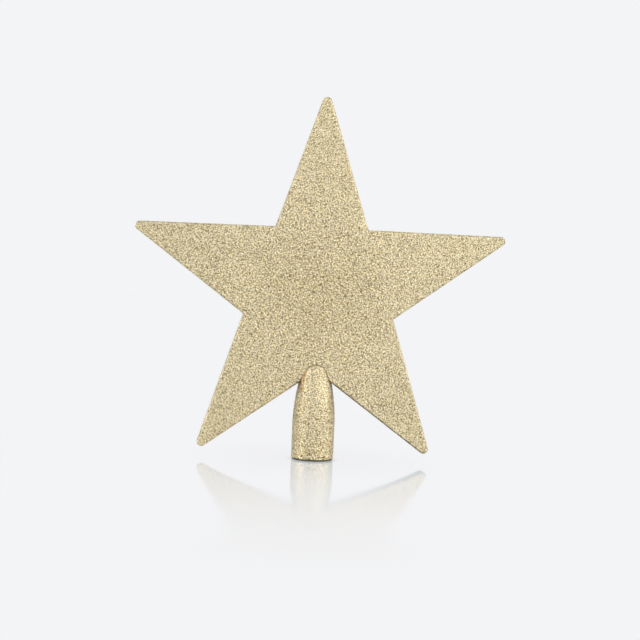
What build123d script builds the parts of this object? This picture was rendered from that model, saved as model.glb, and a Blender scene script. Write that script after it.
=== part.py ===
from build123d import *
import os
from math import asin, atan2, cos, degrees, radians, sin, sqrt

# Tree topper: a hollow five-pointed star on a bullet-shaped socket, all coated in glitter.
# Millimetres, +Z up. The star stands in the XZ plane and faces -Y. The origin is the
# centre of the socket's mouth, on the surface that the topper stands on.

# Star shells, as moulded
points = 5
tip_radius = 104.1
notch_radius = 40.2
tip_round = 2.05
notch_round = 0.8
star_depth = 8.6
face_wall = 1.3
rim_wall = 1.6
edge_round = 0.8

# Rim joint between the shells
lap_depth = 1.2
lap_clearance = 0.06

# Tree socket, as moulded
socket_radius = 10.55
socket_wall = 1.35
socket_straight = 17.3
ogive_radius = 105.0
nose_radius = 7.0
nose_overlap = 4.1
socket_clearance = 0.06
mouth_round = 0.45
mouth_chamfer = 0.35

# Anchor tab at the socket's nose, held between the shells
tab_width = 26.0
tab_height = 21.0
tab_thickness = 2.0
tab_corner = 3.0
tab_sink = 1.2
tab_neck_width = 9.0

# Locating pegs of the front shell and their bosses in the back shell
peg_radius = 1.5
peg_clearance = 0.06
peg_end_gap = 0.5
boss_wall = 1.2
arm_peg_reach = 58.0
tab_peg_inset = 5.5
tab_peg_drop = 6.0

# Ribs inside the arms
rib_width = 1.0
rib_gap = 0.4
rib_reach = 84.0

# Glitter coat and glue beads
coat = 0.35
bare_rim = 1.0
glue_width = 0.7
glue_rise = 0.4

# Extra length of a cutting solid past what it cuts
overrun = 2.0

# Worked out from the above
half_depth = star_depth / 2
cavity_half = half_depth - face_wall
coated_half = half_depth + coat
sector = radians(180 / points)
arm_angles = [radians(-90) + sector * (2 * arm + 1) for arm in range(points)]
tip_half_angle = atan2(notch_radius * sin(sector), tip_radius - notch_radius * cos(sector))
notch_half_angle = tip_half_angle + sector
nose_rise = sqrt((ogive_radius - nose_radius) ** 2 - (ogive_radius - socket_radius) ** 2)
nose_angle = degrees(asin(nose_rise / (ogive_radius - nose_radius)))
nose_height = socket_straight + nose_rise
nose_top = nose_height + nose_radius
star_centre_height = nose_top - nose_overlap + notch_radius
tab_bottom = nose_top - tab_sink
tab_peg_height = tab_bottom + tab_height - tab_peg_drop
tab_peg_offset = tab_width / 2 - tab_peg_inset
boss_foot = tab_thickness / 2 + peg_clearance
rib_foot = tab_thickness / 2 + rib_gap


def polar(reach, angle):
    """A point of the star's plane, seen from the star's centre."""
    return (reach * cos(angle), reach * sin(angle))


def star_face(inset):
    """The star's outline in the XZ plane, drawn in by inset all round."""
    tip = tip_radius - inset / sin(tip_half_angle)
    notch = notch_radius - inset / sin(notch_half_angle)
    corners = []
    for angle in arm_angles:
        corners.append(polar(tip, angle))
        corners.append(polar(notch, angle + sector))
    rounds = [max(tip_round - inset, 0), max(notch_round + inset, 0)] * points
    outline = FilletPolyline(*corners, radius=rounds, close=True)
    return Plane.XZ * (Pos(0, star_centre_height) * make_face(outline))


def star_prism(inset, near, far):
    """The star's outline, drawn in by inset, as a solid from y = near to y = far."""
    return Pos(0, near, 0) * extrude(star_face(inset), amount=far - near, dir=(0, 1, 0))


def half_star(side, growth):
    """One half of the star, solid, with its outer edge rounded. side is -1 for front, 1 for back."""
    reach = side * (half_depth + growth)
    solid = star_prism(-growth, min(0, reach), max(0, reach))
    outer_face = solid.faces().sort_by(Axis.Y)[-1 if side > 0 else 0]
    return fillet(outer_face.edges(), edge_round + growth)


def socket_body(growth, base):
    """The socket's outside as a full solid, grown by growth, from z = base to its nose."""
    wall = socket_radius + growth
    ogive_centre = (socket_radius - ogive_radius, socket_straight)
    profile = [
        Line((0, base), (wall, base)),
        Line((wall, base), (wall, socket_straight)),
        CenterArc(ogive_centre, ogive_radius + growth, 0, nose_angle),
        CenterArc((0, nose_height), nose_radius + growth, nose_angle, 90 - nose_angle),
        Line((0, nose_top + growth), (0, base)),
    ]
    return revolve(Plane.XZ * make_face(profile), Axis.Z)


def y_cylinders(radius, places, near, far):
    """Round solids along Y at places, as (x, z) pairs, from y = near to y = far."""
    middle = (near + far) / 2
    return [Pos(x, middle, z) * (Rot(90, 0, 0) * Cylinder(radius, far - near)) for x, z in places]


def arm_peg_places():
    """Where the pegs in the arms stand, as (x, z) pairs."""
    offsets = [polar(arm_peg_reach, angle) for angle in arm_angles]
    return [(x, star_centre_height + rise) for x, rise in offsets]


def tab_peg_places():
    """Where the pegs through the anchor tab stand, as (x, z) pairs."""
    return [(-tab_peg_offset, tab_peg_height), (tab_peg_offset, tab_peg_height)]


def arm_ribs(near, far):
    """Ribs from the star's centre along every arm, from y = near to y = far."""
    rib = Pos(rib_reach / 2, (near + far) / 2, 0) * Box(rib_reach, far - near, rib_width)
    centre = Pos(0, 0, star_centre_height)
    ribs = [centre * (Rot(0, -degrees(angle), 0) * rib) for angle in arm_angles]
    return (ribs[0] + ribs[1:]) & star_prism(rim_wall / 2, near, far)


def star_front_shell():
    """Front half: tray, tongue of the rim joint, ribs and pegs, open where the socket passes."""
    tray = half_star(-1, 0) - star_prism(rim_wall, -cavity_half, overrun)
    tongue = star_prism(rim_wall / 2 + lap_clearance, -lap_depth, lap_depth)
    tongue -= star_prism(rim_wall, -lap_depth - overrun, lap_depth + overrun)
    places = arm_peg_places() + tab_peg_places()
    pegs = y_cylinders(peg_radius, places, -cavity_half, cavity_half - peg_end_gap)
    shell = tray + [tongue, arm_ribs(-cavity_half, -rib_foot)] + pegs
    return shell - socket_body(socket_clearance, -overrun)


def star_back_shell():
    """Back half: tray, rebate of the rim joint, ribs and bosses, open where the socket passes."""
    tray = half_star(1, 0) - star_prism(rim_wall, -overrun, cavity_half)
    tray -= star_prism(rim_wall / 2, -overrun, lap_depth + lap_clearance)
    places = arm_peg_places() + tab_peg_places()
    bosses = y_cylinders(peg_radius + boss_wall, places, boss_foot, cavity_half)
    holes = y_cylinders(peg_radius + peg_clearance, places, -overrun, cavity_half)
    shell = tray + [arm_ribs(rib_foot, cavity_half)] + bosses - holes
    return shell - socket_body(socket_clearance, -overrun)


def anchor_tab():
    """Flat tab with two peg holes, on a neck that roots it in the socket's nose."""
    plate = Pos(0, tab_bottom + tab_height / 2) * RectangleRounded(tab_width, tab_height, tab_corner)
    neck_height = nose_top - nose_height
    neck = Pos(0, nose_height + neck_height / 2) * Rectangle(tab_neck_width, neck_height)
    tab = extrude(Plane.XZ * (plate + neck), amount=tab_thickness / 2, both=True)
    reach = tab_thickness / 2 + overrun
    return tab - y_cylinders(peg_radius + peg_clearance, tab_peg_places(), -reach, reach)


def tree_socket():
    """Bullet-shaped socket with its anchor tab, bored from below."""
    socket = socket_body(0, 0) + anchor_tab() - socket_body(-socket_wall, -overrun)
    outer_edge = mouth_edges(socket)[-1]
    socket = fillet(outer_edge, mouth_round)
    inner_edge = mouth_edges(socket)[0]
    return chamfer(inner_edge, mouth_chamfer)


def mouth_edges(socket):
    """The round edges at the socket's mouth, the smallest first."""
    return socket.edges().filter_by(GeomType.CIRCLE).group_by(Axis.Z)[0].sort_by(SortBy.RADIUS)


def glitter_coat(side):
    """Coat on one half of the star. side is -1 for front, 1 for back."""
    skin = half_star(side, coat) - half_star(side, 0)
    return skin - socket_body(socket_clearance, -overrun)


def socket_glitter_coat():
    """Coat on the socket, from its bare rim up to the star's coat."""
    skin = socket_body(coat, bare_rim) - socket_body(0, bare_rim - overrun)
    return skin - [half_star(-1, coat), half_star(1, coat)]


def socket_glue(side):
    """Glue bead on one face of the star, round the socket's dome. side is -1 for front, 1 for back."""
    bead = socket_body(coat + glue_width, bare_rim) - socket_body(coat, bare_rim - overrun)
    inner = side * coated_half
    outer = side * (coated_half + glue_rise)
    return bead & star_prism(edge_round, min(inner, outer), max(inner, outer))


os.makedirs("parts", exist_ok=True)
nodes = {
    "star_front_shell": star_front_shell(),
    "star_back_shell": star_back_shell(),
    "tree_socket": tree_socket(),
    "front_glitter_coat": glitter_coat(-1),
    "back_glitter_coat": glitter_coat(1),
    "socket_glitter_coat": socket_glitter_coat(),
    "front_socket_glue": socket_glue(-1),
    "back_socket_glue": socket_glue(1),
}
for name, shape in nodes.items():
    export_step(shape, f"parts/{name}.step")
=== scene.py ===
from math import atan, cos, pi, radians, sin

import bmesh
import bpy
import numpy as np
from mathutils import Matrix, Vector
from mathutils.bvhtree import BVHTree


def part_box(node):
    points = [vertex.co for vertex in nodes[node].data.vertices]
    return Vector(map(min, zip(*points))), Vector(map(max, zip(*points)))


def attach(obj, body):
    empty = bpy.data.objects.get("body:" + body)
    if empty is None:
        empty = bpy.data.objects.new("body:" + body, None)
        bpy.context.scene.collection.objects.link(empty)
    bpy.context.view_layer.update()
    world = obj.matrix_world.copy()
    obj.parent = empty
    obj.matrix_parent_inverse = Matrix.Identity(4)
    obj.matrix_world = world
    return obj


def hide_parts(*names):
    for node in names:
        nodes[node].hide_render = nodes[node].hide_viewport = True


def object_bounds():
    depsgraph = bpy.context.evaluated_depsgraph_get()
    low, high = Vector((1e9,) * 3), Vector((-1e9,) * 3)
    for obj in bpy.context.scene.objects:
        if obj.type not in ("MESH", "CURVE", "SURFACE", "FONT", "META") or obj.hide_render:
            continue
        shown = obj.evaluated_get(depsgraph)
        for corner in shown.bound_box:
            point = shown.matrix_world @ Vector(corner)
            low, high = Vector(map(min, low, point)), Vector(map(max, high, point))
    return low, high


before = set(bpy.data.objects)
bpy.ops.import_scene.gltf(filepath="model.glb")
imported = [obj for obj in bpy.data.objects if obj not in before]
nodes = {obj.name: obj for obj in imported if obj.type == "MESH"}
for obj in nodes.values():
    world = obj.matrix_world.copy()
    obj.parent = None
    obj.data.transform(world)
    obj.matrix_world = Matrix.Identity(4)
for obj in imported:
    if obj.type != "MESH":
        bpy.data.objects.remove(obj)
cad_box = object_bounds()

# The dressing of a glitter-coated tree topper star, in metres, in the frame of its solids.
# The solids carry the bed of the glitter and the bare plastic. Foil flakes and glue are laid on them here.

MM = 0.001
BODY = "root"

# Foil flakes
FLAKE_WIDTH = 0.45 * MM
FLAKE_SPACING = 0.30 * MM
FLAKES_PER_MM2 = 8.5
FLAKE_TILT = radians(20)
FLAKE_SMALLEST = 0.72
FLAKE_LIFT = 0.05 * MM
FLAKE_SIDES = 6
FLAKE_CELL_FILL = 0.42

# Shares of the full number of flakes
UNDERSIDE_SHARE = 0.45
EDGE_SHARE = 0.65
GLUE_SHARE = 0.35

# Faces that count as undersides, by their normal's Z, and as flat, by its Y
UNDERSIDE_FACING = (-0.8, -0.2)
FLAT_FACING = 0.95

# Heights between which the flakes thin out at a bare rim. NO_RIM lies below the topper.
SOCKET_RIM = (1.3 * MM, 4.5 * MM)
NO_RIM = (-1.0, 0.0)

# Random draws of the flakes. Each small patch of the coat gets an even spread of tones. The strides number
# the patches, and the shifts of the seed keep the draws apart.
FLAKE_PATCH = 1.1 * MM
PATCH_STRIDES = (1.0, 256.0, 8192.0)
SEED_SHIFTS = {"tone": 124, "polish": 186, "shuffle": 217}

# Foil, from the darkest flakes to the brightest
FOIL_TONES = [
    (0.000, (0.045, 0.024, 0.001)),
    (0.235, (0.150, 0.100, 0.014)),
    (0.310, (0.790, 0.645, 0.340)),
    (0.720, (1.000, 0.885, 0.600)),
    (1.000, (1.000, 0.980, 0.890)),
]
FOIL_MEAN = (0.708, 0.621, 0.411)
FOIL_ROUGHNESS = (0.34, 0.58)
FOIL_METALLIC = 0.7
FOIL_LEAST_SHADE = 0.98

# Foil over the star: more dark flakes in the middle, a more even look towards the ends of the arms
STAR_POINTS = 5
MIDDLE_REACH = 40 * MM
MIDDLE_SHIFT = -0.155
ENDS_REACH = (44 * MM, 92 * MM)
ENDS_EVENNESS = 0.75

# Bed of glue and foil dust under the flakes, and the slow patches of shade in bed and foil
BED_TONES = [
    (0.000, (0.045, 0.024, 0.001)),
    (0.350, (0.140, 0.094, 0.010)),
    (0.460, (0.640, 0.515, 0.255)),
    (1.000, (1.000, 0.905, 0.630)),
]
BED_ROUGHNESS = (0.34, 0.60)
BED_METALLIC = 0.6
BED_LEAST_SHADE = 0.95
DUST_SCALE = 3100.0
PATCH_SCALE = 45.0

# Painted shade: the bed darkened on the downward faces of the lower arms, beside the socket and to its right
PAINTED_SHADE_FACING = (-0.65, -0.20)
PAINTED_SHADE_HEIGHT = (56 * MM, 64 * MM)
PAINTED_SHADE_START = (-18 * MM, -8 * MM)
PAINTED_SHADE_FACTOR = 0.25

# Moulded plastics and poured glues
MOTTLED_FINISHES = {
    "shell_plastic": {
        "scale": 120.0,
        "pale": (0.56, 0.46, 0.27),
        "deep": (0.47, 0.38, 0.21),
        "roughness": (0.38, 0.52),
        "relief": 0.02 * MM,
    },
    # The socket plastic is dark partly as its own colour and partly as painted shade, standing for the
    # contact shadow at its bare rim
    "socket_plastic": {
        "scale": 160.0,
        "pale": (0.095, 0.074, 0.040),
        "deep": (0.060, 0.047, 0.025),
        "roughness": (0.40, 0.56),
        "relief": 0.02 * MM,
    },
    "amber_glue": {
        "scale": 900.0,
        "pale": (0.58, 0.34, 0.12),
        "deep": (0.36, 0.18, 0.05),
        "roughness": (0.22, 0.40),
        "relief": 0.05 * MM,
    },
    "joint_glue": {
        "scale": 900.0,
        "pale": (0.34, 0.26, 0.12),
        "deep": (0.15, 0.11, 0.045),
        "roughness": (0.25, 0.45),
        "relief": 0.05 * MM,
    },
}

# Detail of the noise in each effect, and the range that holds most of a noise's values
PATCH_DETAIL = 2.0
MOTTLE_DETAIL = 4.0
LUMP_DETAIL = 1.0
NOISE_RANGE = (0.3, 0.7)

# Glue round the socket's dome, and the run of it at the left shoulder
BEAD_RADIUS = 0.30 * MM
BEAD_UNEVENNESS = 0.35
BEAD_LUMP_SCALE = 420.0
BEAD_TAPER = 0.06
BEAD_END_SHARE = 0.2
BEAD_STEPS = 72
BEAD_SIDES = 10
RUN_RADIUS = 1.15 * MM
RUN_LENGTH = 12.0 * MM
RUN_TURN = radians(15)
RUN_START_STEPS = 20
RUN_TAPER = 0.42
RUN_SINK = 0.60 * MM
RUN_STEPS = 16

# Searches on the solids with rays. JOINT_DEPTH is a share of the glue's depth.
RAY_WAY = Vector((0.31, 0.53, 0.79)).normalized()
RAY_STEP = 0.001 * MM
RAY_START = 50 * MM
JOINT_DEPTH = 0.1
MERGE_REACH = 0.001 * MM
COVER_PROBE = 0.02 * MM

# Photograph and its camera
PHOTO_PIXELS = 640
FOCAL_PIXELS = 1259.5
CAMERA_PLACE = Vector((-0.0383, -0.6500, 0.09125))
CAMERA_YAW = radians(3.47)
CAMERA_PITCH = radians(-1.676)
CAMERA_ROLL = radians(2.467)

# Stage. FLOOR_BEND is the lean of the floor's polish per metre. The stops of its polish and glow, and
# FLOOR_SHARP, are ways from the topper as shares of FLOOR_FADE.
FLOOR_HALF = 6.0
FLOOR_GAP = 0.2 * MM
FLOOR_FADE = 0.26
FLOOR_BEND = 0.38
FLOOR_POLISH = [
    (0.10, (0.46, 0.420, 0.395)),
    (0.33, (0.34, 0.305, 0.285)),
    (0.64, (0.15, 0.135, 0.125)),
    (1.00, (0.02, 0.018, 0.017)),
]
FLOOR_GLOW = [(0.042, 0.50), (0.054, 0.86), (0.10, 0.90), (0.30, 1.00)]
FLOOR_SHARP = 0.15
FLOOR_ROUGHNESS = (0.06, 0.22)
BACKDROP = (0.900, 0.905, 0.923)
SOFT_LIGHT = 0.60

# Lamps, as name, place, size and power in watts
LAMPS = [
    ("key_lamp", (0.55, -0.95, 0.60), 0.90, 4.5),
    ("right_lamp", (0.95, -0.25, 0.35), 0.70, 3.0),
    ("left_lamp", (-0.95, -0.35, 0.35), 0.70, 4.0),
    ("back_lamp", (0.10, 1.05, 0.45), 0.90, 2.8),
]

scene = bpy.context.scene


# Small helpers for node trees

def add(tree, kind, inputs=None, **settings):
    """A new node with its settings and input values."""
    made = tree.nodes.new(kind)
    for name, value in settings.items():
        setattr(made, name, value)
    for name, value in (inputs or {}).items():
        made.inputs[name].default_value = value
    return made


def join(tree, start, end):
    """A link from an output to an input."""
    tree.links.new(start, end)


def feed(tree, value, end):
    """Gives an input its value, which may be another node's output."""
    if isinstance(value, bpy.types.NodeSocket):
        join(tree, value, end)
    else:
        end.default_value = value


def named_input(node, name, kind):
    """The enabled input of that name and kind."""
    return next(s for s in node.inputs if s.name == name and s.type == kind and s.enabled)


def named_output(node, name, kind):
    """The enabled output of that name and kind."""
    return next(s for s in node.outputs if s.name == name and s.type == kind and s.enabled)


def node_group(name, kind, inputs, outputs):
    """A new node group with its sockets, as (name, socket type) pairs."""
    tree = bpy.data.node_groups.new(name, kind)
    for direction, sockets in (("INPUT", inputs), ("OUTPUT", outputs)):
        for socket, socket_type in sockets:
            tree.interface.new_socket(socket, in_out=direction, socket_type=socket_type)
    return tree, add(tree, "NodeGroupInput").outputs, add(tree, "NodeGroupOutput").inputs


def bare_material(name):
    """A new material with an empty tree."""
    material = bpy.data.materials.new(name)
    material.use_nodes = True
    material.node_tree.nodes.clear()
    return material, material.node_tree


def surface_material(name):
    """A new material with its tree and its Principled shader."""
    material, tree = bare_material(name)
    surface = add(tree, "ShaderNodeBsdfPrincipled")
    output = add(tree, "ShaderNodeOutputMaterial")
    join(tree, surface.outputs["BSDF"], output.inputs["Surface"])
    return material, tree, surface


def ramp(tree, factor, stops):
    """A colour ramp on factor. stops are (place, colour) pairs."""
    made = add(tree, "ShaderNodeValToRGB")
    elements = made.color_ramp.elements
    while len(elements) < len(stops):
        elements.new(1.0)
    for element, (place, colour) in zip(elements, stops):
        element.position = place
        element.color = (*colour, 1.0)
    join(tree, factor, made.inputs["Fac"])
    return made.outputs["Color"]


def map_range(tree, value, start, end, interpolation="LINEAR"):
    """value, taken from its start range to its end range and held there."""
    made = add(tree, "ShaderNodeMapRange", interpolation_type=interpolation)
    names = ("Value", "From Min", "From Max", "To Min", "To Max")
    for name, given in zip(names, (value, *start, *end)):
        feed(tree, given, made.inputs[name])
    return made.outputs["Result"]


def number_math(tree, operation, *values):
    """The result of a sum on numbers."""
    made = add(tree, "ShaderNodeMath", operation=operation)
    for value, end in zip(values, made.inputs):
        feed(tree, value, end)
    return made.outputs["Value"]


def vector_math(tree, operation, *values):
    """The result of a sum on vectors, which is a number for lengths and dot products."""
    made = add(tree, "ShaderNodeVectorMath", operation=operation)
    for value, end in zip(values, made.inputs):
        feed(tree, value, end)
    is_number = operation in ("LENGTH", "DISTANCE", "DOT_PRODUCT")
    return made.outputs["Value" if is_number else "Vector"]


def product(tree, first, second):
    """Two numbers multiplied."""
    return number_math(tree, "MULTIPLY", first, second)


def parts_of(tree, vector):
    """The X, Y and Z of a vector."""
    made = add(tree, "ShaderNodeSeparateXYZ")
    join(tree, vector, made.inputs["Vector"])
    return made.outputs


def mixed(tree, share, first, second, blend="MIX"):
    """Two colours, the second blended over the first by share."""
    made = add(tree, "ShaderNodeMix", data_type="RGBA", blend_type=blend)
    feed(tree, share, made.inputs["Factor"])
    feed(tree, first, named_input(made, "A", "RGBA"))
    feed(tree, second, named_input(made, "B", "RGBA"))
    return named_output(made, "Result", "RGBA")


def tinted(tree, colour, shade):
    """colour, multiplied by shade."""
    return mixed(tree, 1.0, colour, shade, "MULTIPLY")


def clouds(tree, scale, detail):
    """Soft noise through a piece, from 0 to 1."""
    made = add(tree, "ShaderNodeTexNoise", {"Detail": detail})
    join(tree, add(tree, "ShaderNodeTexCoord").outputs["Object"], made.inputs["Vector"])
    join(tree, scale, made.inputs["Scale"])
    return made.outputs["Fac"]


# Materials

def patch_group():
    """Slow changes of shade over the coat, where the glitter lies thicker or thinner."""
    inputs = [("Scale", "NodeSocketFloat"), ("Least", "NodeSocketFloat"), ("Most", "NodeSocketFloat")]
    outputs = [("Shade", "NodeSocketColor")]
    tree, given, result = node_group("coat_patches", "ShaderNodeTree", inputs, outputs)
    cloud = clouds(tree, given["Scale"], PATCH_DETAIL)
    shade = map_range(tree, cloud, NOISE_RANGE, (given["Least"], given["Most"]))
    join(tree, shade, result["Shade"])
    return tree


def mottle_group():
    """Soft mottling of a moulded or poured surface: its colour, roughness and height."""
    inputs = [
        ("Scale", "NodeSocketFloat"),
        ("Pale", "NodeSocketColor"),
        ("Deep", "NodeSocketColor"),
        ("Smoothest", "NodeSocketFloat"),
        ("Roughest", "NodeSocketFloat"),
    ]
    outputs = [
        ("Colour", "NodeSocketColor"),
        ("Roughness", "NodeSocketFloat"),
        ("Height", "NodeSocketFloat"),
    ]
    tree, given, result = node_group("moulded_mottle", "ShaderNodeTree", inputs, outputs)
    cloud = clouds(tree, given["Scale"], MOTTLE_DETAIL)
    share = map_range(tree, cloud, NOISE_RANGE, (0.0, 1.0))
    rough = map_range(tree, share, (0.0, 1.0), (given["Smoothest"], given["Roughest"]))
    join(tree, mixed(tree, share, given["Deep"], given["Pale"]), result["Colour"])
    join(tree, rough, result["Roughness"])
    join(tree, cloud, result["Height"])
    return tree


def coat_shade(tree, patches, least):
    """The shade of the coat's patches, from least to full."""
    values = {"Scale": PATCH_SCALE, "Least": least, "Most": 1.0}
    return add(tree, "ShaderNodeGroup", values, node_tree=patches).outputs["Shade"]


def foil_material(name, patches, middle, middle_shift, ends_evenness):
    """Champagne foil: a tone and a polish for each flake, the tones changing with the way from middle."""
    material, tree, surface = surface_material(name)
    tone = add(tree, "ShaderNodeAttribute", attribute_name="tone").outputs["Fac"]
    polish = add(tree, "ShaderNodeAttribute", attribute_name="polish").outputs["Fac"]
    place = add(tree, "ShaderNodeTexCoord").outputs["Object"]
    reach = vector_math(tree, "DISTANCE", place, middle)
    shift = map_range(tree, reach, (0.0, MIDDLE_REACH), (middle_shift, 0.0))
    evenness = map_range(tree, reach, ENDS_REACH, (0.0, ends_evenness))
    single = ramp(tree, number_math(tree, "ADD", tone, shift), FOIL_TONES)
    evened = mixed(tree, evenness, single, (*FOIL_MEAN, 1.0))
    shade = coat_shade(tree, patches, FOIL_LEAST_SHADE)
    join(tree, tinted(tree, evened, shade), surface.inputs["Base Color"])
    join(tree, map_range(tree, polish, (0.0, 1.0), FOIL_ROUGHNESS), surface.inputs["Roughness"])
    surface.inputs["Metallic"].default_value = FOIL_METALLIC
    return material


def painted_underside_mask(tree, place):
    """1 on the undersides of the lower arms where shade is painted into the bed's colour, 0 elsewhere."""
    spot = parts_of(tree, place.outputs["Object"])
    facing = parts_of(tree, place.outputs["Normal"])
    underside = map_range(tree, facing["Z"], PAINTED_SHADE_FACING, (1.0, 0.0))
    lower = map_range(tree, spot["Z"], PAINTED_SHADE_HEIGHT, (1.0, 0.0))
    rightward = map_range(tree, spot["X"], PAINTED_SHADE_START, (0.0, 1.0))
    return product(tree, product(tree, underside, lower), rightward)


def bed_material(patches):
    """The bed of clear glue and fine foil dust under the flakes, with painted shade on the undersides of the
    lower arms.
    """
    material, tree, surface = surface_material("glitter_bed")
    place = add(tree, "ShaderNodeTexCoord")
    dust = add(tree, "ShaderNodeTexVoronoi", {"Scale": DUST_SCALE}, feature="F1")
    join(tree, place.outputs["Object"], dust.inputs["Vector"])
    grain = add(tree, "ShaderNodeSeparateColor")
    join(tree, dust.outputs["Color"], grain.inputs["Color"])
    colour = ramp(tree, grain.outputs["Red"], BED_TONES)
    covered = tinted(tree, colour, coat_shade(tree, patches, BED_LEAST_SHADE))
    # Painted shade: the bed's colour darkened where it faces down beside and right of the socket
    painted_darkening = map_range(tree, painted_underside_mask(tree, place), (0.0, 1.0), (1.0, PAINTED_SHADE_FACTOR))
    rough = map_range(tree, grain.outputs["Green"], (0.0, 1.0), BED_ROUGHNESS)
    join(tree, tinted(tree, covered, painted_darkening), surface.inputs["Base Color"])
    join(tree, rough, surface.inputs["Roughness"])
    surface.inputs["Metallic"].default_value = BED_METALLIC
    return material


def mottled_material(name, mottle, scale, pale, deep, roughness, relief):
    """A moulded or poured material. relief is the height of its mottling."""
    material, tree, surface = surface_material(name)
    smoothest, roughest = roughness
    finish = add(tree, "ShaderNodeGroup", {
        "Scale": scale,
        "Pale": (*pale, 1.0),
        "Deep": (*deep, 1.0),
        "Smoothest": smoothest,
        "Roughest": roughest,
    }, node_tree=mottle)
    bump = add(tree, "ShaderNodeBump", {"Distance": relief})
    join(tree, finish.outputs["Height"], bump.inputs["Height"])
    join(tree, finish.outputs["Colour"], surface.inputs["Base Color"])
    join(tree, finish.outputs["Roughness"], surface.inputs["Roughness"])
    join(tree, bump.outputs["Normal"], surface.inputs["Normal"])
    return material


def star_middle():
    """The point from which the star's arms are equally long."""
    low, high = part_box("front_glitter_coat")
    drop = cos(pi / STAR_POINTS)
    return Vector((0.0, 0.0, low[2] + (high[2] - low[2]) * drop / (1 + drop)))


def dress(node_name, material):
    """Gives a solid's object its material."""
    for place in nodes[node_name].material_slots:
        place.link = "OBJECT"
        place.material = material


# Pieces made by Geometry Nodes

def set_inputs(modifier, values):
    """Sets a Geometry Nodes modifier's inputs, given by their names."""
    for item in modifier.node_group.interface.items_tree:
        if item.in_out == "INPUT" and item.name in values:
            modifier[item.identifier] = values[item.name]


def made_piece(name, source, tree, values):
    """A plain mesh object made by a Geometry Nodes tree from a source mesh or curve."""
    maker = bpy.data.objects.new(name + "_maker", source)
    scene.collection.objects.link(maker)
    modifier = maker.modifiers.new("make", "NODES")
    modifier.node_group = tree
    set_inputs(modifier, values)
    depsgraph = bpy.context.evaluated_depsgraph_get()
    mesh = bpy.data.meshes.new_from_object(maker.evaluated_get(depsgraph), depsgraph=depsgraph)
    mesh.name = name
    maker.modifiers.clear()
    bpy.data.objects.remove(maker)
    piece = bpy.data.objects.new(name, mesh)
    scene.collection.objects.link(piece)
    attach(piece, BODY)
    return piece


def finish_tree(tree, geometry, material, result):
    """Ends a tree with real meshes in their material."""
    whole = add(tree, "GeometryNodeRealizeInstances")
    join(tree, geometry, whole.inputs["Geometry"])
    finish = add(tree, "GeometryNodeSetMaterial")
    join(tree, whole.outputs["Geometry"], finish.inputs["Geometry"])
    join(tree, material, finish.inputs["Material"])
    join(tree, finish.outputs["Geometry"], result["Geometry"])


# Foil flakes

def node_search(node_name):
    """A ray search on a solid."""
    mesh = nodes[node_name].data
    places = [vertex.co for vertex in mesh.vertices]
    faces = [tuple(face.vertices) for face in mesh.polygons]
    return BVHTree.FromPolygons(places, faces)


def is_inside(search, place):
    """True if place lies inside the closed solid that search holds."""
    crossings = 0
    hit = search.ray_cast(place, RAY_WAY)
    while hit[0] is not None:
        crossings += 1
        hit = search.ray_cast(hit[0] + RAY_WAY * RAY_STEP, RAY_WAY)
    return crossings % 2 == 1


def open_surface(node_name, searches, wanted):
    """A mesh of the wanted faces of a solid that no other solid covers."""
    shape = bmesh.new()
    shape.from_mesh(nodes[node_name].data)
    bmesh.ops.remove_doubles(shape, verts=shape.verts, dist=MERGE_REACH)
    dropped = []
    for face in shape.faces:
        place = face.calc_center_median() + face.normal * COVER_PROBE
        if not wanted(face) or any(is_inside(search, place) for search in searches.values()):
            dropped.append(face)
    bmesh.ops.delete(shape, geom=dropped, context="FACES")
    surface = bpy.data.meshes.new(node_name + "_surface")
    shape.to_mesh(surface)
    shape.free()
    return surface


def is_flat(face):
    """True on the star's flat faces."""
    return abs(face.normal.y) > FLAT_FACING


def is_rim(face):
    """True on the star's rim and rounded edges."""
    return not is_flat(face)


def is_any(face):
    """True everywhere."""
    return True


def cover_share(tree, given):
    """The share of flakes that a place gets: fewer on undersides, none on the bare rim."""
    facing = parts_of(tree, add(tree, "GeometryNodeInputNormal").outputs["Normal"])
    place = parts_of(tree, add(tree, "GeometryNodeInputPosition").outputs["Position"])
    off_underside = map_range(tree, facing["Z"], UNDERSIDE_FACING, (given["Underside share"], 1.0))
    off_rim = map_range(tree, place["Z"], (given["Bare below"], given["Full above"]), (0.0, 1.0))
    return product(tree, off_underside, off_rim)


def flake_lean(tree, given):
    """A random lean up to Tilt either way, and a random turn, for every flake."""
    least = add(tree, "ShaderNodeCombineXYZ")
    most = add(tree, "ShaderNodeCombineXYZ", {"Z": 2 * pi})
    back = product(tree, given["Tilt"], -1.0)
    for axis in ("X", "Y"):
        join(tree, back, least.inputs[axis])
        join(tree, given["Tilt"], most.inputs[axis])
    lean = add(tree, "FunctionNodeRandomValue", data_type="FLOAT_VECTOR")
    join(tree, least.outputs["Vector"], named_input(lean, "Min", "VECTOR"))
    join(tree, most.outputs["Vector"], named_input(lean, "Max", "VECTOR"))
    join(tree, given["Seed"], lean.inputs["Seed"])
    turn = add(tree, "FunctionNodeEulerToRotation")
    join(tree, named_output(lean, "Value", "VECTOR"), turn.inputs["Euler"])
    return turn.outputs["Rotation"]


def flake_size(tree, given):
    """A random size for every flake, as a share of the largest."""
    size = add(tree, "FunctionNodeRandomValue", data_type="FLOAT")
    join(tree, given["Smallest"], named_input(size, "Min", "VALUE"))
    named_input(size, "Max", "VALUE").default_value = 1.0
    join(tree, given["Seed"], size.inputs["Seed"])
    return named_output(size, "Value", "VALUE")


def random_draw(tree, name, seed):
    """A random number from 0 to 1 for every point, drawn anew for each name."""
    shift = add(tree, "FunctionNodeIntegerMath", {1: SEED_SHIFTS[name]}, operation="ADD")
    join(tree, seed, shift.inputs[0])
    draw = add(tree, "FunctionNodeRandomValue", data_type="FLOAT")
    join(tree, shift.outputs[0], draw.inputs["Seed"])
    return named_output(draw, "Value", "VALUE")


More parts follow.
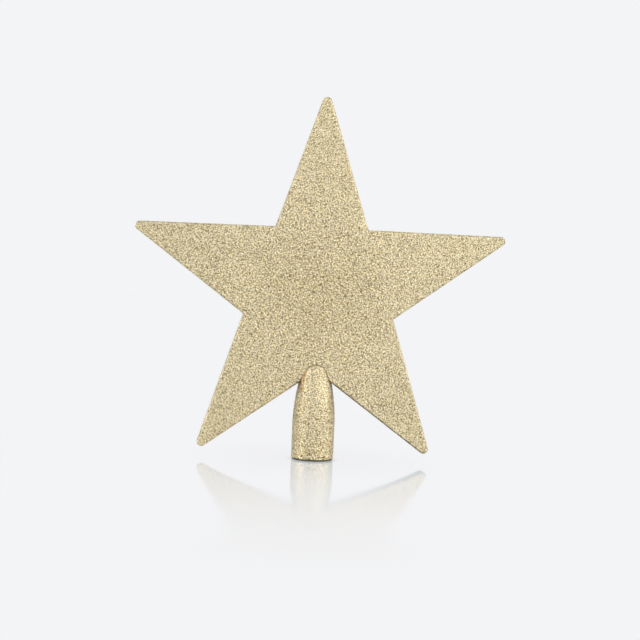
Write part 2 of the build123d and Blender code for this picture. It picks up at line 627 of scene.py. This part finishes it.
def stored(tree, points, name, value):
    """The points with a value stored on each."""
    store = add(
        tree, "GeometryNodeStoreNamedAttribute", {"Name": name}, data_type="FLOAT", domain="POINT")
    join(tree, points, store.inputs["Geometry"])
    join(tree, value, named_input(store, "Value", "VALUE"))
    return store.outputs["Geometry"]


def random_attribute(tree, points, name, seed):
    """Stores a random number from 0 to 1 on every point."""
    return stored(tree, points, name, random_draw(tree, name, seed))


def dealt_attribute(tree, points, name, patch, seed):
    """Stores numbers from 0 to 1 on the points, dealt so that every small patch gets an even spread."""
    shuffle = add(tree, "GeometryNodeSortElements", domain="POINT")
    join(tree, points, shuffle.inputs["Geometry"])
    join(tree, random_draw(tree, "shuffle", seed), shuffle.inputs["Sort Weight"])
    place = add(tree, "GeometryNodeInputPosition").outputs["Position"]
    corner = vector_math(tree, "FLOOR", vector_math(tree, "DIVIDE", place, patch))
    number = vector_math(tree, "DOT_PRODUCT", corner, PATCH_STRIDES)
    deal = add(tree, "GeometryNodeAccumulateField", data_type="INT", domain="POINT")
    named_input(deal, "Value", "INT").default_value = 1
    join(tree, number, deal.inputs["Group ID"])
    before = named_output(deal, "Trailing", "INT")
    total = named_output(deal, "Total", "INT")
    turn = number_math(tree, "ADD", before, random_draw(tree, name, seed))
    return stored(tree, shuffle.outputs["Geometry"], name, number_math(tree, "DIVIDE", turn, total))


def flake_tree():
    """Lays foil flakes on a surface: spread points, and on each a leaning flake with its tone and polish."""
    sizes = (
        "Flake width", "Spacing", "Density", "Underside share", "Bare below",
        "Full above", "Tilt", "Smallest", "Lift", "Patch",
    )
    inputs = [("Surface", "NodeSocketGeometry")]
    inputs += [(name, "NodeSocketFloat") for name in sizes]
    inputs += [("Sides", "NodeSocketInt"), ("Seed", "NodeSocketInt"), ("Foil", "NodeSocketMaterial")]
    outputs = [("Geometry", "NodeSocketGeometry")]
    tree, given, result = node_group("lay_flakes", "GeometryNodeTree", inputs, outputs)

    spread = add(tree, "GeometryNodeDistributePointsOnFaces", distribute_method="POISSON")
    join(tree, given["Surface"], spread.inputs["Mesh"])
    join(tree, given["Spacing"], spread.inputs["Distance Min"])
    join(tree, given["Density"], spread.inputs["Density Max"])
    join(tree, cover_share(tree, given), spread.inputs["Density Factor"])
    join(tree, given["Seed"], spread.inputs["Seed"])

    toned = dealt_attribute(tree, spread.outputs["Points"], "tone", given["Patch"], given["Seed"])
    polished = random_attribute(tree, toned, "polish", given["Seed"])
    offset = add(tree, "ShaderNodeVectorMath", operation="SCALE")
    join(tree, spread.outputs["Normal"], offset.inputs["Vector"])
    join(tree, given["Lift"], offset.inputs["Scale"])
    lift = add(tree, "GeometryNodeSetPosition")
    join(tree, polished, lift.inputs["Geometry"])
    join(tree, offset.outputs["Vector"], lift.inputs["Offset"])

    flake = add(tree, "GeometryNodeMeshCircle", fill_type="NGON")
    join(tree, given["Sides"], flake.inputs["Vertices"])
    join(tree, product(tree, given["Flake width"], 0.5), flake.inputs["Radius"])
    lay = add(tree, "FunctionNodeRotateRotation", rotation_space="LOCAL")
    join(tree, spread.outputs["Rotation"], lay.inputs["Rotation"])
    join(tree, flake_lean(tree, given), lay.inputs["Rotate By"])

    place = add(tree, "GeometryNodeInstanceOnPoints")
    join(tree, lift.outputs["Geometry"], place.inputs["Points"])
    join(tree, flake.outputs["Mesh"], place.inputs["Instance"])
    join(tree, lay.outputs["Rotation"], place.inputs["Rotation"])
    join(tree, flake_size(tree, given), place.inputs["Scale"])
    finish_tree(tree, place.outputs["Instances"], given["Foil"], result)
    return tree


def map_flakes(mesh):
    """Gives every flake its own cell of a square map."""
    count = len(mesh.polygons)
    across = int(np.ceil(np.sqrt(count)))
    cell = np.arange(count)
    centres = np.stack([cell % across, cell // across], axis=1) + 0.5
    angles = np.arange(FLAKE_SIDES) * 2 * pi / FLAKE_SIDES
    corners = FLAKE_CELL_FILL * np.stack([np.cos(angles), np.sin(angles)], axis=1)
    places = (centres[:, None, :] + corners[None, :, :]) / across
    layer = mesh.uv_layers.new(name="OFBake")
    layer.data.foreach_set("uv", places.astype(np.float32).ravel())


def lay_flakes(name, surface, tree, foil, share, rim, seed):
    """A piece of foil flakes on a surface: a share of the full number, thinned out at its rim."""
    bare_below, full_above = rim
    piece = made_piece(name, surface, tree, {
        "Flake width": FLAKE_WIDTH,
        "Spacing": FLAKE_SPACING,
        "Density": share * FLAKES_PER_MM2 / MM ** 2,
        "Underside share": UNDERSIDE_SHARE,
        "Bare below": bare_below,
        "Full above": full_above,
        "Tilt": FLAKE_TILT,
        "Smallest": FLAKE_SMALLEST,
        "Lift": FLAKE_LIFT,
        "Patch": FLAKE_PATCH,
        "Sides": FLAKE_SIDES,
        "Seed": seed,
        "Foil": foil,
    })
    map_flakes(piece.data)


# Glue

def bead_tree():
    """A bead of glue along a path: round, uneven, and thinner towards its ends."""
    inputs = [
        ("Path", "NodeSocketGeometry"),
        ("Radius", "NodeSocketFloat"),
        ("Unevenness", "NodeSocketFloat"),
        ("Taper", "NodeSocketFloat"),
        ("Sides", "NodeSocketInt"),
        ("Glue", "NodeSocketMaterial"),
    ]
    outputs = [("Geometry", "NodeSocketGeometry")]
    tree, given, result = node_group("pour_bead", "GeometryNodeTree", inputs, outputs)
    along = add(tree, "GeometryNodeSplineParameter").outputs["Factor"]
    to_end = number_math(tree, "MINIMUM", along, number_math(tree, "SUBTRACT", 1.0, along))
    ends = map_range(tree, to_end, (0.0, given["Taper"]), (BEAD_END_SHARE, 1.0), "SMOOTHSTEP")
    lumps = add(tree, "ShaderNodeTexNoise", {"Scale": BEAD_LUMP_SCALE, "Detail": LUMP_DETAIL})
    swing = map_range(tree, lumps.outputs["Fac"], NOISE_RANGE, (-1.0, 1.0))
    swell = number_math(tree, "MULTIPLY_ADD", swing, given["Unevenness"], 1.0)
    radius = product(tree, product(tree, ends, swell), given["Radius"])
    section = add(tree, "GeometryNodeCurvePrimitiveCircle", {"Radius": 1.0})
    join(tree, given["Sides"], section.inputs["Resolution"])
    tube = add(tree, "GeometryNodeCurveToMesh", {"Fill Caps": True})
    join(tree, given["Path"], tube.inputs["Curve"])
    join(tree, section.outputs["Curve"], tube.inputs["Profile Curve"])
    join(tree, radius, tube.inputs["Scale"])
    smooth = add(tree, "GeometryNodeSetShadeSmooth")
    join(tree, tube.outputs["Mesh"], smooth.inputs["Geometry"])
    finish_tree(tree, smooth.outputs["Geometry"], given["Glue"], result)
    return tree


def path_curve(name, places):
    """A curve through places."""
    curve = bpy.data.curves.new(name, "CURVE")
    curve.dimensions = "3D"
    spline = curve.splines.new("POLY")
    spline.points.add(len(places) - 1)
    for point, place in zip(spline.points, places):
        point.co = (*place, 1.0)
    return curve


def joint_path(glue_node, search):
    """Places along the joint of the dome and a face, from the right shoulder over the top to the left."""
    low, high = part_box(glue_node)
    face_y = min(low[1], high[1], key=abs)
    outer_y = max(low[1], high[1], key=abs)
    start = Vector((0.0, face_y + JOINT_DEPTH * (outer_y - face_y), low[2]))
    places = []
    for step in range(BEAD_STEPS + 1):
        angle = pi * step / BEAD_STEPS
        hit = search.ray_cast(start, Vector((cos(angle), 0.0, sin(angle))))
        if hit[0] is not None:
            places.append(Vector((hit[0].x, face_y, hit[0].z)))
    return places


def run_path(joint, search):
    """Places along the end of the joint and on down the socket, turning towards its front."""
    shoulder = joint[-1]
    outward = Vector((shoulder.x, shoulder.y, 0.0)).normalized()
    places = joint[-RUN_START_STEPS:]
    for step in range(1, RUN_STEPS + 1):
        share = step / RUN_STEPS
        way = Matrix.Rotation(RUN_TURN * share, 3, "Z") @ outward
        height = Vector((0.0, 0.0, shoulder.z - RUN_LENGTH * share))
        hit = search.ray_cast(way * RAY_START + height, -way)
        if hit[0] is not None:
            places.append(hit[0] - way * RUN_SINK)
    return places


def pour(name, path, radius, taper, tree, glue):
    """A piece of glue along a path."""
    return made_piece(name, path_curve(name, path), tree, {
        "Radius": radius,
        "Unevenness": BEAD_UNEVENNESS,
        "Taper": taper,
        "Sides": BEAD_SIDES,
        "Glue": glue,
    })


# Stage, light and camera

def seen_directly(tree):
    """1 for rays of the camera, of reflections and through glass, 0 for rays of light."""
    rays = add(tree, "ShaderNodeLightPath").outputs
    seen = number_math(tree, "MAXIMUM", rays["Is Camera Ray"], rays["Is Glossy Ray"])
    return number_math(tree, "MAXIMUM", seen, rays["Is Transmission Ray"])


def backdrop_world():
    """A pale backdrop for the camera and for reflections, and soft light for the rest."""
    world = bpy.data.worlds.new("soft_studio")
    scene.world = world
    world.use_nodes = True
    tree = world.node_tree
    tree.nodes.clear()
    light = add(tree, "ShaderNodeBackground", {"Color": (*BACKDROP, 1.0)})
    strength = map_range(tree, seen_directly(tree), (0.0, 1.0), (SOFT_LIGHT, 1.0))
    join(tree, strength, light.inputs["Strength"])
    output = add(tree, "ShaderNodeOutputWorld")
    join(tree, light.outputs["Background"], output.inputs["Surface"])


def without(colour, share):
    """What is left of colour when a share of each channel is taken away."""
    return tuple(whole * (1 - part) for whole, part in zip(colour, share))


def bowed_normal(tree, place):
    """The normal of the floor's polish, which bows to both sides and in front of the topper."""
    ahead = vector_math(tree, "MINIMUM", place, (FLOOR_HALF, 0.0, 0.0))
    lean = vector_math(tree, "MULTIPLY_ADD", ahead, (FLOOR_BEND, FLOOR_BEND, 0.0), (0.0, 0.0, 1.0))
    return vector_math(tree, "NORMALIZE", lean)


def floor_material():
    """Pale and matt far out, where it melts into the backdrop, with shade and polish round the topper."""
    material, tree = bare_material("pale_floor")
    place = add(tree, "ShaderNodeTexCoord").outputs["Object"]
    away = map_range(tree, vector_math(tree, "LENGTH", place), (0.0, FLOOR_FADE), (0.0, 1.0))
    unpolished = ramp(tree, away, [(stop, without(BACKDROP, polish)) for stop, polish in FLOOR_POLISH])
    matt = add(tree, "ShaderNodeBsdfDiffuse")
    join(tree, unpolished, matt.inputs["Color"])
    glow = add(tree, "ShaderNodeEmission")
    join(tree, unpolished, glow.inputs["Color"])
    even = ramp(tree, away, [(stop, [share] * 3) for stop, share in FLOOR_GLOW])
    pale = add(tree, "ShaderNodeMixShader")
    join(tree, product(tree, even, seen_directly(tree)), pale.inputs[0])
    join(tree, matt.outputs["BSDF"], pale.inputs[1])
    join(tree, glow.outputs["Emission"], pale.inputs[2])
    gloss = add(tree, "ShaderNodeBsdfGlossy")
    join(tree, ramp(tree, away, FLOOR_POLISH), gloss.inputs["Color"])
    join(tree, map_range(tree, away, (FLOOR_SHARP, 1.0), FLOOR_ROUGHNESS), gloss.inputs["Roughness"])
    join(tree, bowed_normal(tree, place), gloss.inputs["Normal"])
    whole = add(tree, "ShaderNodeAddShader")
    join(tree, pale.outputs["Shader"], whole.inputs[0])
    join(tree, gloss.outputs["BSDF"], whole.inputs[1])
    output = add(tree, "ShaderNodeOutputMaterial")
    join(tree, whole.outputs["Shader"], output.inputs["Surface"])
    return material


def floor_sheet(name, material, height, for_camera):
    """A sheet of the floor, seen by the camera alone or by all other rays."""
    shape = bmesh.new()
    place = Matrix.Translation((0.0, 0.0, height))
    bmesh.ops.create_grid(shape, x_segments=1, y_segments=1, size=FLOOR_HALF, matrix=place)
    mesh = bpy.data.meshes.new(name)
    shape.to_mesh(mesh)
    shape.free()
    mesh.materials.append(material)
    sheet = bpy.data.objects.new(name, mesh)
    scene.collection.objects.link(sheet)
    sheet.visible_camera = for_camera
    sheet.visible_diffuse = not for_camera
    sheet.visible_glossy = not for_camera
    sheet.visible_transmission = not for_camera
    sheet.visible_shadow = not for_camera
    return sheet


def lamp_receivers(floor):
    """What the lamps light: all but the polished floor, which would mirror them."""
    receivers = bpy.data.collections.new("lamp_receivers")
    receivers.objects.link(floor)
    receivers.collection_objects[0].light_linking.link_state = "EXCLUDE"
    return receivers


def soft_lamp(name, place, aim, size, power, receivers):
    """A square soft lamp that points at aim."""
    data = bpy.data.lights.new(name, "AREA")
    data.size = size
    data.energy = power
    lamp = bpy.data.objects.new(name, data)
    lamp.location = place
    lamp.rotation_euler = (Vector(aim) - Vector(place)).to_track_quat("-Z", "Y").to_euler()
    lamp.light_linking.receiver_collection = receivers
    scene.collection.objects.link(lamp)


def photo_camera():
    """The camera at the photograph's place, turned and slightly rolled as it was."""
    data = bpy.data.cameras.new("photo_camera")
    data.angle = 2 * atan(PHOTO_PIXELS / 2 / FOCAL_PIXELS)
    camera = bpy.data.objects.new("photo_camera", data)
    turn = Matrix.Rotation(-CAMERA_YAW, 4, "Z")
    upright = Matrix.Rotation(pi / 2 + CAMERA_PITCH, 4, "X")
    roll = Matrix.Rotation(CAMERA_ROLL, 4, "Z")
    camera.matrix_world = Matrix.Translation(CAMERA_PLACE) @ turn @ upright @ roll
    scene.collection.objects.link(camera)
    scene.camera = camera


# The solids in their finishes

patches = patch_group()
mottle = mottle_group()
star_foil = foil_material("star_foil_flakes", patches, star_middle(), MIDDLE_SHIFT, ENDS_EVENNESS)
socket_foil = foil_material("socket_foil_flakes", patches, star_middle(), 0.0, 0.0)
bed = bed_material(patches)
finishes = {name: mottled_material(name, mottle, **finish) for name, finish in MOTTLED_FINISHES.items()}

dress("star_front_shell", finishes["shell_plastic"])
dress("star_back_shell", finishes["shell_plastic"])
dress("tree_socket", finishes["socket_plastic"])
dress("front_socket_glue", finishes["joint_glue"])
dress("back_socket_glue", finishes["joint_glue"])
dress("front_glitter_coat", bed)
dress("back_glitter_coat", bed)
dress("socket_glitter_coat", bed)

# Flakes on the coats

searches = {name: node_search(name) for name in nodes}
flakes = flake_tree()
layers = [
    ("front_face_flakes", "front_glitter_coat", is_flat, star_foil, 1.0, NO_RIM),
    ("front_rim_flakes", "front_glitter_coat", is_rim, star_foil, EDGE_SHARE, NO_RIM),
    ("back_face_flakes", "back_glitter_coat", is_flat, star_foil, 1.0, NO_RIM),
    ("back_rim_flakes", "back_glitter_coat", is_rim, star_foil, EDGE_SHARE, NO_RIM),
    ("socket_flakes", "socket_glitter_coat", is_any, socket_foil, 1.0, SOCKET_RIM),
]
for seed, (piece_name, coat, wanted, foil, share, rim) in enumerate(layers, start=1):
    surface = open_surface(coat, searches, wanted)
    lay_flakes(piece_name, surface, flakes, foil, share, rim, seed)

# Glue round the dome, with the run at the left shoulder

beads = bead_tree()
for side in ("front", "back"):
    glue_node = side + "_socket_glue"
    path = joint_path(glue_node, searches[glue_node])
    bead = pour(side + "_glue_bead", path, BEAD_RADIUS, BEAD_TAPER, beads, finishes["joint_glue"])
    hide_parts(glue_node)
    if side == "front":
        run_places = run_path(path, searches["socket_glitter_coat"])
        run = pour("front_glue_run", run_places, RUN_RADIUS, RUN_TAPER, beads, finishes["amber_glue"])
        run_seed = len(layers) + 1
        lay_flakes("glue_run_flakes", run.data, flakes, socket_foil, GLUE_SHARE, NO_RIM, run_seed)

# The photograph's stage

backdrop_world()
pale_floor = floor_material()
floor_sheet("bounce_floor", pale_floor, -FLOOR_GAP, False)
receivers = lamp_receivers(floor_sheet("seen_floor", pale_floor, 0.0, True))
topper_middle = (cad_box[0] + cad_box[1]) / 2
for lamp_name, lamp_place, lamp_size, lamp_power in LAMPS:
    soft_lamp(lamp_name, lamp_place, topper_middle, lamp_size, lamp_power, receivers)
photo_camera()
scene.view_settings.view_transform = "Standard"
